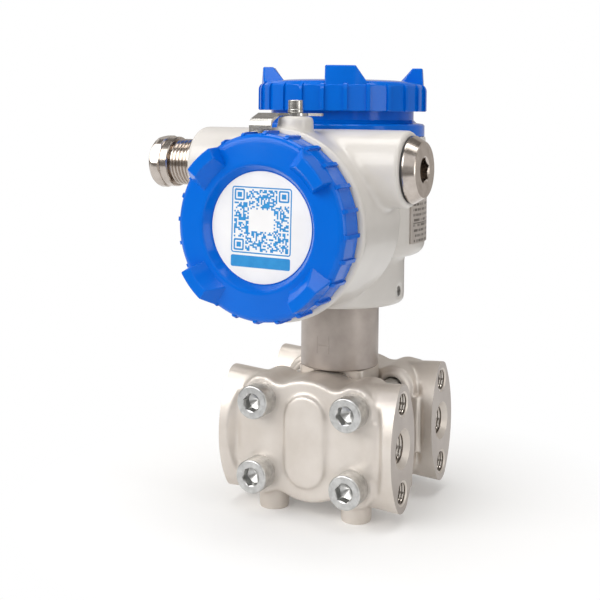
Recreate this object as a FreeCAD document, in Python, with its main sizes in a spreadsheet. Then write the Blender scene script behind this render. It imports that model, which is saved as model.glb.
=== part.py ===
import FreeCAD, Part
import math
import os
import Sketcher

# Differential pressure transmitter: two stainless process covers bolted round a
# sensor body, a welded neck tube, and a painted two-compartment housing with
# screwed covers.  Millimetres, +Z up, feet on Z = 0, high side towards -Y,
# process connections towards +X.

doc = FreeCAD.newDocument("dp_transmitter")
V = FreeCAD.Vector
Rot = FreeCAD.Rotation

# ------------------------------------------------------------------ dimensions
DIMS = [
    # process covers (cast, one each side of the sensor body)
    ("port_z", 36.5, "height of the process port axis above the feet"),
    ("port_y", 27.0, "port axis from the neck plane, 54 mm between ports"),
    ("cover_half_x", 45.0, "half length over the machined end faces"),
    ("ear_arc_r", 45.4, "radius of both sides of the lens-shaped end"),
    ("ear_half_y", 15.3, "half width of the lens-shaped end"),
    ("ear_half_z", 30.0, "half height of the lens-shaped end"),
    ("ear_length", 4.2, "straight part of the lens-shaped end"),
    ("ear_flare", 8.2, "where the flare from the cast bar to the end begins"),
    ("core_half_y", 9.5, "half thickness of the bar where its flanks are hollowed"),
    ("core_lens_y", 14.3, "half width of the bar's lens at its inner end"),
    ("core_lens_z", 28.5, "half height of the bar's lens at its inner end"),
    ("core_arc_r", 43.0, "radius of both sides of that lens"),
    ("core_start_x", 24.0, "inner end of the cast bar, inside the bolt lobes"),
    ("plate_front", 38.0, "cast front face from the neck plane"),
    ("plate_back", 12.6, "machined sealing face from the neck plane"),
    ("plate_disc_r", 29.0, "round centre of the plate"),
    ("plate_boss_r", 11.0, "round lobes at the four bolts"),
    ("plate_valley_r", 8.0, "hollow between lobe and centre"),
    ("plate_web_x", 37.6, "half length of the web between the lobes"),
    ("plate_web_z", 14.0, "half height of the web between the lobes"),
    ("inner_boss_r", 8.5, "raised ring round each bolt, inner face"),
    ("inner_boss_y", 10.6, "end of that ring from the neck plane"),
    ("pad_front", 40.3, "front of the raised centre pad"),
    ("pad_half_x", 10.7, "half width of the centre pad"),
    ("pad_half_z", 21.8, "half height of the centre pad"),
    ("foot_r", 7.3, "cast foot radius"),
    ("foot_x", 21.8, "foot from the middle"),
    ("port_thread_r", 6.6, "1/4-18 NPT bore radius"),
    ("port_mouth_r", 9.3, "mouth of the port countersink"),
    ("port_mouth_depth", 2.6, "depth of the port countersink"),
    ("port_depth", 17.0, "depth of the port bore"),
    ("flange_pitch", 41.3, "spacing of the flange bolt holes"),
    ("flange_hole_r", 4.95, "7/16-20 UNF bore radius"),
    ("flange_hole_depth", 13.5, "depth of the flange bolt holes"),
    ("chamber_r", 17.0, "pressure chamber radius"),
    ("chamber_depth", 2.2, "pressure chamber depth"),
    # cover bolts
    ("bolt_x", 24.2, "cover bolt from the middle"),
    ("bolt_z", 17.6, "cover bolt above and below the port axis"),
    ("bolt_r", 5.0, "M10 shank radius"),
    ("bolt_hole_r", 5.4, "clearance hole radius"),
    ("bolt_head_r", 8.0, "socket head radius"),
    ("seat_r", 9.5, "spot face under a bolt head or nut"),
    ("bolt_head_h", 9.8, "socket head height"),
    ("bolt_socket_af", 8.0, "hex socket across flats"),
    ("seat_y", 37.6, "spot-faced bolt seat from the neck plane"),
    ("nut_af", 16.0, "nut across flats"),
    ("nut_h", 8.4, "nut height"),
    # sensor body and neck
    ("sensor_r", 23.6, "sensor capsule radius"),
    ("stub_half_x", 17.2, "half width of the block under the neck"),
    ("stub_half_y", 12.4, "half depth of the block under the neck"),
    ("neck_bottom", 66.2, "underside of the neck tube"),
    ("neck_top", 98.0, "shoulder at the top of the neck tube"),
    ("neck_r", 19.45, "neck tube radius"),
    ("spigot_r", 17.0, "spigot carrying the housing"),
    ("spigot_top", 113.0, "top of the spigot"),
    ("wire_bore_r", 7.0, "wiring bore radius"),
    # housing
    ("barrel_z", 141.9, "axis height of the front compartment"),
    ("barrel_r", 42.2, "outside radius of the front compartment"),
    ("barrel_back", 22.0, "rear of the round flank from the neck axis"),
    ("bead_r", 43.7, "radius of the bead behind the front cover"),
    ("bead_back", 67.8, "rear of the bead"),
    ("bead_front", 72.9, "front of the bead"),
    ("barrel_bore_r", 32.0, "front compartment bore"),
    ("barrel_floor", 36.0, "back wall of the front compartment"),
    ("cup_r", 42.0, "outside radius of the upper compartment"),
    ("cup_bottom", 122.5, "underside of the upper compartment"),
    ("cup_top", 181.0, "seat of the collar"),
    ("cup_bore_r", 34.0, "upper compartment bore"),
    ("cup_floor", 140.0, "floor of the upper compartment"),
    ("base_r", 32.0, "round base under the housing"),
    ("base_bottom", 98.3, "underside of the housing"),
    ("neck_bore_r", 17.06, "bore running on the neck spigot"),
    ("conduit_y", 41.0, "conduit axis in front of the neck axis"),
    ("conduit_z", 167.0, "conduit axis height"),
    ("conduit_r", 17.7, "conduit boss radius"),
    ("conduit_right", 53.0, "right conduit face"),
    ("conduit_left", 55.5, "left conduit face"),
    ("conduit_bore_r", 10.0, "M20 entry bore"),
    ("lock_x", 3.9, "cover lock screw, sideways"),
    ("lock_y", 60.0, "cover lock screw, forwards"),
    ("lock_seat_z", 190.6, "top of the lock boss"),
    ("lock_boss_r", 8.2, "lock boss radius"),
    # screwed covers, both the same
    ("nose_r", 35.80, "threaded nose radius"),
    ("cover_bore_r", 35.86, "cover thread radius"),
    ("rib_r", 42.3, "over the ribs"),
    ("facet_r", 41.0, "flats between the ribs, apothem"),
    ("skirt_h", 10.4, "straight part of the cover"),
    ("shoulder", 4.0, "rounding of the shoulder"),
    ("cover_h", 15.2, "height of the cover without lugs"),
    ("ceiling_h", 9.0, "inside depth of the cover"),
    ("recess_r", 24.9, "label recess, radius of its floor"),
    ("recess_rim_r", 27.2, "label recess, radius of its rim"),
    ("recess_h", 10.9, "floor of the label recess"),
    ("lug_h", 21.5, "height over the lugs"),
    ("rib_w", 1.7, "width of a rib"),
    ("front_cover_y", 73.35, "open edge of the front cover"),
    ("top_cover_z", 193.15, "open edge of the top cover"),
    # collar under the top cover
    ("collar_r", 41.3, "collar flange radius"),
    ("collar_top", 187.0, "top of the collar flange"),
    ("collar_nose_top", 201.6, "top of the collar nose"),
    ("collar_bore_r", 30.5, "collar bore"),
    # gland and plug
    ("gland_flange_r", 12.6, "gland flange radius"),
    ("gland_thread_r", 11.3, "gland outside thread radius"),
    ("gland_nut_r", 12.35, "gland nut radius"),
    ("plug_flange_r", 15.4, "stopping plug flange radius"),
    ("plug_face_r", 12.4, "stopping plug face radius"),
    ("plug_out", 6.4, "stopping plug beyond the boss"),
    ("plug_socket_af", 10.4, "stopping plug hex socket"),
]

sheet = doc.addObject("Spreadsheet::Sheet", "Dims")
for row, (alias, value, note) in enumerate(DIMS, start=1):
    sheet.set("A%d" % row, alias)
    sheet.set("B%d" % row, str(value))
    sheet.set("C%d" % row, note)
    sheet.setAlias("B%d" % row, alias)
doc.recompute()


class Dim:
    """A size with its number and the sheet expression that drives it."""

    def __init__(self, value, text):
        self.value = float(value)
        self.text = text

    def __add__(self, other):
        other = as_dim(other)
        return Dim(self.value + other.value, "(%s + %s)" % (self.text, other.text))

    def __sub__(self, other):
        other = as_dim(other)
        return Dim(self.value - other.value, "(%s - %s)" % (self.text, other.text))

    def __mul__(self, other):
        other = as_dim(other)
        return Dim(self.value * other.value, "(%s * %s)" % (self.text, other.text))

    def __neg__(self):
        return Dim(-self.value, "(0 - %s)" % self.text)

    __radd__ = __add__
    __rmul__ = __mul__

    def __rsub__(self, other):
        return as_dim(other) - self


def as_dim(value):
    if isinstance(value, Dim):
        return value
    return Dim(value, "%.4f" % value)


NUMBER = {alias: value for alias, value, note in DIMS}


def D(alias):
    return Dim(NUMBER[alias], "Dims." + alias)


def num(value):
    return value.value if isinstance(value, Dim) else float(value)


# -------------------------------------------------------------------- helpers
def bind(obj, prop, value):
    """Set a size and tie it to the sheet."""
    setattr(obj, prop, num(value))
    if isinstance(value, Dim):
        obj.setExpression(prop, value.text)


def place(obj, x, y, z, rotation=None):
    """Put an object at a point whose coordinates may come from the sheet."""
    obj.Placement = FreeCAD.Placement(V(num(x), num(y), num(z)), rotation or Rot())
    for axis, value in (("x", x), ("y", y), ("z", z)):
        if isinstance(value, Dim):
            obj.setExpression("Placement.Base." + axis, value.text)


AXES = {
    "+Z": Rot(),
    "-Z": Rot(V(1, 0, 0), 180),
    "+X": Rot(V(0, 1, 0), 90),
    "-X": Rot(V(0, 1, 0), -90),
    "-Y": Rot(V(1, 0, 0), 90),
    "+Y": Rot(V(1, 0, 0), -90),
}


def cylinder(name, radius, height, x, y, z, axis="+Z", turn=0.0):
    obj = doc.addObject("Part::Cylinder", name)
    bind(obj, "Radius", radius)
    bind(obj, "Height", height)
    place(obj, x, y, z, AXES[axis].multiply(Rot(V(0, 0, 1), turn)))
    return obj


def cone(name, radius1, radius2, height, x, y, z, axis="+Z"):
    obj = doc.addObject("Part::Cone", name)
    bind(obj, "Radius1", radius1)
    bind(obj, "Radius2", radius2)
    bind(obj, "Height", height)
    place(obj, x, y, z, AXES[axis])
    return obj


def prism(name, across_flats, height, x, y, z, axis="+Z", sides=6, turn=0.0):
    """Regular prism, measured across flats."""
    obj = doc.addObject("Part::Prism", name)
    obj.Polygon = sides
    bind(obj, "Circumradius", as_dim(across_flats) * (0.5 / math.cos(math.pi / sides)))
    bind(obj, "Height", height)
    place(obj, x, y, z, AXES[axis].multiply(Rot(V(0, 0, 1), turn)))
    return obj


def box(name, x0, x1, y0, y1, z0, z1):
    obj = doc.addObject("Part::Box", name)
    bind(obj, "Length", as_dim(x1) - x0)
    bind(obj, "Width", as_dim(y1) - y0)
    bind(obj, "Height", as_dim(z1) - z0)
    place(obj, x0, y0, z0)
    return obj


def fuse(name, *parts):
    obj = doc.addObject("Part::MultiFuse", name)
    obj.Shapes = list(parts)
    return obj


def common(name, *parts):
    obj = doc.addObject("Part::MultiCommon", name)
    obj.Shapes = list(parts)
    return obj


def cut(name, base, *tools):
    tool = tools[0] if len(tools) == 1 else fuse(name + "_tools", *tools)
    obj = doc.addObject("Part::Cut", name)
    obj.Base = base
    obj.Tool = tool
    return obj


def profile(name, points, rotation=None, x=0.0, y=0.0, z=0.0):
    """Closed polygon sketch; every corner is dimensioned from the origin."""
    sketch = doc.addObject("Sketcher::SketchObject", name)
    count = len(points)
    corners = [V(num(px), num(py), 0) for px, py in points]
    for index in range(count):
        sketch.addGeometry(Part.LineSegment(corners[index], corners[(index + 1) % count]), False)
    for index in range(count):
        sketch.addConstraint(Sketcher.Constraint("Coincident", index, 2, (index + 1) % count, 1))
    for index, (px, py) in enumerate(points):
        for kind, value in (("DistanceX", px), ("DistanceY", py)):
            number = sketch.addConstraint(Sketcher.Constraint(kind, -1, 1, index, 1, num(value)))
            if isinstance(value, Dim):
                sketch.setExpression("Constraints[%d]" % number, value.text)
    place(sketch, x, y, z, rotation)
    return sketch


def revolve(name, points, axis="+Z", x=0.0, y=0.0, z=0.0, angle=360.0):
    """Ring from (radius, height) corners, turned about the given axis."""
    # sketch x is the radius, sketch y the height along the turning axis
    sketch = profile(name + "_profile", points)
    obj = doc.addObject("Part::Revolution", name)
    obj.Source = sketch
    obj.Base = V(0, 0, 0)
    obj.Axis = V(0, 1, 0)
    obj.Angle = angle
    obj.Solid = True
    upright = Rot(V(1, 0, 0), 90)
    place(obj, x, y, z, AXES[axis].multiply(upright))
    return obj


def edges_where(obj, test):
    """Numbers of the edges whose middle point and shape satisfy a test."""
    doc.recompute()
    found = []
    for number, edge in enumerate(obj.Shape.Edges, start=1):
        middle = edge.valueAt((edge.FirstParameter + edge.LastParameter) / 2.0)
        if test(edge, middle):
            found.append(number)
    return found


def fillet(name, obj, radius, test):
    result = doc.addObject("Part::Fillet", name)
    result.Base = obj
    result.Edges = [(number, radius, radius) for number in edges_where(obj, test)]
    return result


def chamfer(name, obj, size, test):
    result = doc.addObject("Part::Chamfer", name)
    result.Base = obj
    result.Edges = [(number, size, size) for number in edges_where(obj, test)]
    return result


def is_round(edge, radius=None):
    if not isinstance(edge.Curve, Part.Circle):
        return False
    return radius is None or abs(edge.Curve.Radius - radius) < 0.02


def near(a, b, tolerance=0.02):
    return abs(a - b) < tolerance


NODES = []


def node(obj, label):
    """Register a finished piece under its node name."""
    obj.Label = label
    NODES.append((obj, label))
    return obj


# ------------------------------------------------------------- process covers
port_z = D("port_z")
port_y = D("port_y")


def lens_wire(name, x, half_y, half_z, side_r):
    """Lens outline across the port axis: two side arcs joined by round tips."""
    a = num(half_y)
    b = num(half_z)
    tip_r = (2 * side_r * a - a * a - b * b) / (2 * (side_r - b))
    centre = side_r - a
    tip_z = b - tip_r
    reach = math.hypot(centre, tip_z)
    touch_y = centre / reach * tip_r
    touch_z = tip_z + tip_z / reach * tip_r
    axis_y = -num(port_y)
    axis_z = num(port_z)

    def at(dy, dz):
        return V(num(x), axis_y + dy, axis_z + dz)

    edges = [
        Part.Arc(at(-touch_y, -touch_z), at(-a, 0.0), at(-touch_y, touch_z)).toShape(),
        Part.Arc(at(-touch_y, touch_z), at(0.0, b), at(touch_y, touch_z)).toShape(),
        Part.Arc(at(touch_y, touch_z), at(a, 0.0), at(touch_y, -touch_z)).toShape(),
        Part.Arc(at(touch_y, -touch_z), at(0.0, -b), at(-touch_y, -touch_z)).toShape(),
    ]
    obj = doc.addObject("Part::Feature", name)
    obj.Shape = Part.Wire(edges)
    return obj


def lofted(name, *sections):
    obj = doc.addObject("Part::Loft", name)
    obj.Sections = list(sections)
    obj.Solid = True
    obj.Ruled = True
    return obj


plate_depth = D("plate_front") - D("plate_back")
plate_disc = cylinder("plate_disc", D("plate_disc_r"), plate_depth, 0, -D("plate_back"), port_z, "-Y")
plate_parts = [plate_disc]
valley = math.hypot(NUMBER["bolt_x"], NUMBER["bolt_z"])
side_a = NUMBER["plate_disc_r"] + NUMBER["plate_valley_r"]
side_b = NUMBER["plate_boss_r"] + NUMBER["plate_valley_r"]
spread = math.acos((side_a ** 2 + valley ** 2 - side_b ** 2) / (2 * side_a * valley))
valley_angle = math.atan2(NUMBER["bolt_z"], NUMBER["bolt_x"]) + spread
valley_x = side_a * math.cos(valley_angle)
valley_z = side_a * math.sin(valley_angle)
for sx in (-1, 1):
    for sz in (-1, 1):
        tag = "%s%s" % ("l" if sx < 0 else "r", "d" if sz < 0 else "u")
        boss = cylinder(
            "plate_boss_" + tag, D("plate_boss_r"), plate_depth,
            D("bolt_x") * sx, -D("plate_back"), port_z + D("bolt_z") * sz, "-Y", turn=90.0 + 90.0 * sx)
        corners = [
            (0.0, 0.0),
            (valley_x * sx, valley_z * sz),
            (D("bolt_x") * sx, D("bolt_z") * sz),
        ]
        web = profile("plate_web_" + tag, corners, AXES["-Y"], 0, -D("plate_back"), port_z)
        slab = doc.addObject("Part::Extrusion", "plate_slab_" + tag)
        slab.Base = web
        slab.Dir = V(0, -1, 0)
        slab.Solid = True
        bind(slab, "LengthFwd", plate_depth)
        hollow = cylinder(
            "plate_hollow_" + tag, D("plate_valley_r"), plate_depth + 2,
            valley_x * sx, 1 - D("plate_back"), port_z + valley_z * sz, "-Y")
        plate_parts += [boss, cut("plate_fill_" + tag, slab, hollow)]
plate_parts.append(box(
    "plate_web", -D("plate_web_x"), D("plate_web_x"), -D("plate_front"), -D("plate_back"),
    port_z - D("plate_web_z"), port_z + D("plate_web_z")))
plate_union = fuse("plate_union", *plate_parts)
plate_union.Refine = True
plate_soft = fillet(
    "plate_soft", plate_union, 2.2,
    lambda edge, mid: near(mid.y, -NUMBER["plate_front"]) and edge.BoundBox.YLength < 0.01)

ear_parts = []
ear_face = D("cover_half_x")
ear_foot = ear_face - D("ear_length")
flare_foot = ear_face - D("ear_flare")
reach_y = D("ear_half_y") + 1.0
for sx, tag in ((1, "right"), (-1, "left")):
    # the machined lens-shaped end runs in under the bolt lobes, its flanks hollowed behind the end
    inner_lens = lens_wire(
        "inner_lens_" + tag, D("core_start_x") * sx, D("core_lens_y"), D("core_lens_z"), NUMBER["core_arc_r"])
    end_lens = lens_wire("end_lens_" + tag, ear_face * sx, D("ear_half_y"), D("ear_half_z"), NUMBER["ear_arc_r"])
    spindle = lofted("spindle_" + tag, inner_lens, end_lens)
    flank = profile(
        "flank_line_" + tag,
        [(D("core_start_x") * sx - sx, -D("core_half_y")), (flare_foot * sx, -D("core_half_y")),
         (ear_foot * sx, -D("ear_half_y")), (ear_foot * sx, -reach_y), (ear_face * sx + sx, -reach_y),
         (ear_face * sx + sx, reach_y), (ear_foot * sx, reach_y), (ear_foot * sx, D("ear_half_y")),
         (flare_foot * sx, D("core_half_y")), (D("core_start_x") * sx - sx, D("core_half_y"))],
        Rot(), 0.0, -port_y, 0.0)
    flank_slab = doc.addObject("Part::Extrusion", "flank_" + tag)
    flank_slab.Base = flank
    flank_slab.Dir = V(0, 0, 1)
    flank_slab.LengthFwd = 90.0
    flank_slab.Solid = True
    ear_parts.append(common("bar_" + tag, spindle, flank_slab))
middle_bar = box(
    "middle_bar", -D("core_start_x"), D("core_start_x"), -port_y - D("core_half_y") + 1.0, -D("plate_back") - 1.0,
    port_z - 20.0, port_z + 20.0)
ear_parts.append(middle_bar)

pad_parts = [box(
    "pad_middle", -D("pad_half_x"), D("pad_half_x"), -D("pad_front"), -D("plate_front") + 1.0,
    port_z - D("pad_half_z") + D("pad_half_x"), port_z + D("pad_half_z") - D("pad_half_x"))]
for sz, tag in ((1, "up"), (-1, "down")):
    pad_parts.append(cylinder(
        "pad_" + tag, D("pad_half_x"), D("pad_front") - D("plate_front") + 1.0, 0.0,
        -D("plate_front") + 1.0, port_z + (D("pad_half_z") - D("pad_half_x")) * sz, "-Y"))
pad_union = fuse("pad_union", *pad_parts)
pad_union.Refine = True
pad = fillet("pad", pad_union, 1.3, lambda edge, mid: near(mid.y, -NUMBER["pad_front"]))

extras = [pad]
for sx, tag in ((1, "right"), (-1, "left")):
    foot = cylinder("foot_" + tag, D("foot_r"), port_z - 20.0, D("foot_x") * sx, -port_y, 0.0)
    extras.append(fillet("foot_soft_" + tag, foot, 1.0, lambda edge, mid: near(mid.z, 0.0) and is_round(edge)))
    extras.append(box(
        "number_panel_" + tag, D("bolt_x") * sx + (7.0 if sx > 0 else -10.6),
        D("bolt_x") * sx + (10.6 if sx > 0 else -7.0), -D("plate_front") - 0.35, -D("plate_front") + 1.0,
        port_z - 6.6, port_z + 6.6))
    for sz, level in ((1, "u"), (-1, "d")):
        extras.append(cylinder(
            "inner_boss_%s%s" % (tag, level), D("inner_boss_r"), D("plate_back") - D("inner_boss_y") + 2.0,
            D("bolt_x") * sx, -D("inner_boss_y"), port_z + D("bolt_z") * sz, "-Y"))

casting = fuse("cover_casting", plate_soft, *(ear_parts + extras))
casting.Refine = True

drills = []
for sx, tag in ((1, "right"), (-1, "left")):
    axis = "-X" if sx > 0 else "+X"
    face = D("cover_half_x") * sx
    drills.append(cylinder("port_bore_" + tag, D("port_thread_r"), D("port_depth"), face, -port_y, port_z, axis))
    drills.append(cone(
        "port_mouth_" + tag, D("port_mouth_r"), D("port_thread_r"), D("port_mouth_depth"),
        face, -port_y, port_z, axis))
    drills.append(cylinder("port_passage_" + tag, 2.4, D("cover_half_x") - 6.0, face, -port_y, port_z, axis))
    drills.append(cylinder("port_turn_" + tag, 2.4, port_y - D("plate_back"), 8.0 * sx, -port_y, port_z, "+Y"))
    for sz, level in ((1, "u"), (-1, "d")):
        bolt_at = port_z + D("bolt_z") * sz
        drills.append(cylinder(
            "bolt_hole_%s%s" % (tag, level), D("bolt_hole_r"), 40.0,
            D("bolt_x") * sx, -4.0, bolt_at, "-Y", turn=90.0 + 90.0 * sx))
        drills.append(cylinder(
            "bolt_seat_%s%s" % (tag, level), D("seat_r"), 8.0,
            D("bolt_x") * sx, -D("seat_y"), bolt_at, "-Y", turn=90.0 + 90.0 * sx))
for sz, level in ((1, "u"), (-1, "d")):
    hole_z = port_z + D("flange_pitch") * (0.5 * sz)
    face = D("cover_half_x")
    drills.append(cylinder(
        "flange_hole_" + level, D("flange_hole_r"), D("flange_hole_depth"), face, -port_y, hole_z, "-X"))
    drills.append(cone(
        "flange_mouth_" + level, D("flange_hole_r") + 0.65, D("flange_hole_r"), 0.9, face, -port_y, hole_z, "-X"))
drills.append(cylinder(
    "capsule_room", D("sensor_r") + 0.25, D("plate_back"), 0.0, -D("plate_back"), port_z, "+Y"))
drills.append(box(
    "stub_room", -D("stub_half_x") - 0.4, D("stub_half_x") + 0.4, -D("plate_back"), 0.0, port_z, 90.0))
drills.append(cylinder(
    "pressure_chamber", D("chamber_r"), D("chamber_depth"), 0.0, -D("plate_back"), port_z, "-Y"))
high_cover = node(cut("high_side_cover", casting, *drills), "high_side_cover")

low_mirror = doc.addObject("Part::Mirroring", "low_side_cover")
low_mirror.Source = high_cover
low_mirror.Base = V(0, 0, 0)
low_mirror.Normal = V(0, 1, 0)
node(low_mirror, "low_side_cover")

# --------------------------------------------------------- sensor body, seals
capsule = cylinder("capsule", D("sensor_r"), D("plate_back") * 2, 0.0, D("plate_back"), port_z, "-Y")
stub_box = box(
    "stub_box", -D("stub_half_x"), D("stub_half_x"), -D("stub_half_y"), D("stub_half_y"),
    port_z, D("neck_bottom"))
stub = fillet("stub", stub_box, 3.0, lambda edge, mid: edge.BoundBox.ZLength > 10.0)
sensor_union = fuse("sensor_union", capsule, stub)
grooves = []
for sy, tag, axis in ((-1, "high", "+Y"), (1, "low", "-Y")):
    face = D("plate_back") * sy
    ring = cylinder("groove_out_" + tag, 22.4, 1.3, 0.0, face, port_z, axis)
    core_pin = cylinder("groove_in_" + tag, 19.0, 1.3, 0.0, face, port_z, axis)
    grooves.append(cut("seal_groove_" + tag, ring, core_pin))
    grooves.append(cylinder("diaphragm_seat_" + tag, D("chamber_r") - 0.5, 0.9, 0.0, face, port_z, axis))
grooves.append(cylinder("wire_bore", D("wire_bore_r") - 2.0, 30.0, 0.0, 0.0, D("neck_bottom") - 16.0))
node(cut("sensor_body", sensor_union, *grooves), "sensor_body")

for sy, tag, axis in ((-1, "high", "+Y"), (1, "low", "-Y")):
    face = D("plate_back") * sy
    seal_out = cylinder("seal_out_" + tag, 22.4, 1.3, 0.0, face, port_z, axis)
    seal_in = cylinder("seal_in_" + tag, 19.0, 1.3, 0.0, face, port_z, axis)
    node(cut("cover_seal_" + tag, seal_out, seal_in), "cover_seal_" + tag)
    disc_face = face - 0.4 * sy
    waves = [
        (0.0, 0.0), (0.0, 0.3), (4.0, 0.3), (5.0, 0.1), (7.0, 0.1), (8.0, 0.3), (10.0, 0.3),
        (11.0, 0.1), (13.0, 0.1), (14.0, 0.3), (D("chamber_r") - 0.5, 0.3), (D("chamber_r") - 0.5, 0.0),
    ]
    opposite = "-Y" if axis == "+Y" else "+Y"
    node(revolve("diaphragm_" + tag, waves, opposite, 0.0, face - 0.9 * sy, port_z), "diaphragm_" + tag)

# ------------------------------------------------------ cover bolts and nuts
bolts = []
nuts = []
bolt_length = D("seat_y") * 2 + D("nut_h") + 1.0
for sx in (-1, 1):
    for sz in (-1, 1):
        tag = "%s%s" % ("l" if sx < 0 else "r", "d" if sz < 0 else "u")
        bx = D("bolt_x") * sx
        bz = port_z + D("bolt_z") * sz
        head = cylinder("head_" + tag, D("bolt_head_r"), D("bolt_head_h"), bx, -D("seat_y"), bz, "-Y")
        head_soft = fillet("head_soft_" + tag, head, 0.9, lambda edge, mid: mid.y < -40.0 and is_round(edge))
        shank = cylinder("shank_" + tag, D("bolt_r"), bolt_length, bx, -D("seat_y"), bz, "+Y")
        face_y = -D("seat_y") - D("bolt_head_h")
        socket = prism("socket_" + tag, D("bolt_socket_af"), 5.0, bx, face_y, bz, "+Y", turn=30.0 + 17.0 * sx * sz)
        lead = cone("socket_lead_" + tag, D("bolt_socket_af") * 0.575, 3.6, 0.7, bx, face_y, bz, "+Y")
        drill = cone("socket_drill_" + tag, 4.0, 0.2, 2.2, bx, face_y + 5.0, bz, "+Y")
        bolts.append(cut("bolt_" + tag, fuse("bolt_blank_" + tag, head_soft, shank), socket, lead, drill))
        blank = prism("nut_blank_" + tag, D("nut_af"), D("nut_h"), bx, D("seat_y"), bz, "+Y", turn=11.0 * sx)
        round_off = cone(
            "nut_round_" + tag, D("nut_af") * 0.72, D("nut_af") * 0.5 - 0.1, D("nut_h") + 0.02,
            bx, D("seat_y"), bz, "+Y")
        hole = cylinder("nut_hole_" + tag, D("bolt_r"), D("nut_h"), bx, D("seat_y"), bz, "+Y")
        nuts.append(cut("nut_" + tag, common("nut_shape_" + tag, blank, round_off), hole))
group = doc.addObject("Part::Compound", "cover_bolts")
group.Links = bolts
node(group, "cover_bolts")
group = doc.addObject("Part::Compound", "cover_nuts")
group.Links = nuts
node(group, "cover_nuts")

# flush plugs in the unused left-hand ports
for sy, tag in ((-1, "high"), (1, "low")):
    face_x = D("port_mouth_depth") - D("cover_half_x") + 0.2
    body = cylinder("drain_body_" + tag, D("port_thread_r"), 11.0, face_x, port_y * sy, port_z, "+X")
    soft = chamfer("drain_soft_" + tag, body, 0.5, lambda edge, mid: mid.x < -40.0 and is_round(edge))
    key = prism("drain_key_" + tag, 6.35, 5.0, face_x, port_y * sy, port_z, "+X")
    node(cut("drain_plug_" + tag, soft, key), "drain_plug_" + tag)

# ------------------------------------------------------------------ neck tube
tube = cylinder("tube", D("neck_r"), D("neck_top") - D("neck_bottom"), 0.0, 0.0, D("neck_bottom"))
tube_soft = fillet("tube_soft", tube, 0.9, lambda edge, mid: is_round(edge))
spigot = cylinder("spigot", D("spigot_r"), D("spigot_top") - D("neck_top") + 2.0, 0.0, 0.0, D("neck_top") - 2.0)
spigot_soft = chamfer("spigot_soft", spigot, 0.8, lambda edge, mid: mid.z > 110.0 and is_round(edge))
neck_cuts = [cylinder(
    "neck_bore", D("wire_bore_r"), D("spigot_top") - D("neck_bottom") + 2.0, 0.0, 0.0, D("neck_bottom") - 1.0)]
ring_out = cylinder("neck_groove_out", D("spigot_r") + 1.0, 2.4, 0.0, 0.0, 105.0)
ring_in = cylinder("neck_groove_in", D("spigot_r") - 2.0, 2.4, 0.0, 0.0, 105.0)
neck_cuts.append(cut("neck_groove", ring_out, ring_in))
# side marks, 0.4 mm deep: H on the high side, L on the low side
mark_low = 74.5
mark_high = 83.1
stroke = 0.8
depth = 0.4
front_mark = [(-3.5, -2.7, mark_low, mark_high), (2.7, 3.5, mark_low, mark_high), (-2.7, 2.7, 78.4, 79.2)]
back_mark = [(2.0, 2.8, mark_low, mark_high), (-2.8, 2.0, mark_low, mark_low + stroke)]
for index, (x0, x1, z0, z1) in enumerate(front_mark):
    neck_cuts.append(box("mark_h_%d" % index, x0, x1, -D("neck_r") - 1.0, depth - D("neck_r"), z0, z1))
for index, (x0, x1, z0, z1) in enumerate(back_mark):
    neck_cuts.append(box("mark_l_%d" % index, x0, x1, D("neck_r") - depth, D("neck_r") + 1.0, z0, z1))
node(cut("neck_tube", fuse("neck_blank", tube_soft, spigot_soft), *neck_cuts), "neck_tube")
seal_out = cylinder("neck_seal_out", D("spigot_r") + 0.02, 2.4, 0.0, 0.0, 105.0)
seal_in = cylinder("neck_seal_in", D("spigot_r") - 2.0, 2.4, 0.0, 0.0, 105.0)
node(cut("neck_o_ring", seal_out, seal_in), "neck_o_ring")

# -------------------------------------------------------------------- housing
barrel_z = D("barrel_z")
base_raw = cylinder("base_raw", D("base_r"), 34.0, 0.0, 0.0, D("base_bottom"))
base_soft = fillet("base_soft", base_raw, 2.4, lambda edge, mid: near(mid.z, NUMBER["base_bottom"]))
cup_raw = cylinder("cup_raw", D("cup_r"), D("cup_top") - D("cup_bottom"), 0.0, 0.0, D("cup_bottom"))
cup_soft = fillet("cup_soft", cup_raw, 6.0, lambda edge, mid: near(mid.z, NUMBER["cup_bottom"]))
barrel_raw = cylinder(
    "barrel_raw", D("barrel_r"), D("bead_back") - D("barrel_back"), 0.0, -D("barrel_back"), barrel_z, "-Y")
barrel_soft = fillet("barrel_soft", barrel_raw, 6.0, lambda edge, mid: near(mid.y, -NUMBER["barrel_back"]))
bead_raw = cylinder(
    "bead_raw", D("bead_r"), D("bead_front") - D("bead_back"), 0.0, -D("bead_back"), barrel_z, "-Y")
bead_soft = fillet("bead_soft", bead_raw, 2.2, lambda edge, mid: is_round(edge))
nose_end = D("front_cover_y") + D("ceiling_h") - 0.9
nose = cylinder("nose", D("nose_r"), nose_end - D("bead_front") + 2.0, 0.0, 2.0 - D("bead_front"), barrel_z, "-Y")
conduit_raw = cylinder(
    "conduit_raw", D("conduit_r"), D("conduit_left") + D("conduit_right"), -D("conduit_left"),
    -D("conduit_y"), D("conduit_z"), "+X")
conduit_soft = fillet("conduit_soft", conduit_raw, 1.6, lambda edge, mid: is_round(edge))
lock_raw = cylinder("lock_raw", D("lock_boss_r"), 16.0, D("lock_x"), -D("lock_y"), D("lock_seat_z") - 16.0)
lock_soft = fillet("lock_soft", lock_raw, 1.8, lambda edge, mid: near(mid.z, NUMBER["lock_seat_z"]))
housing_solid = fuse(
    "housing_solid", base_soft, cup_soft, barrel_soft, bead_soft, nose, conduit_soft, lock_soft)
housing_solid.Refine = True

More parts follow.
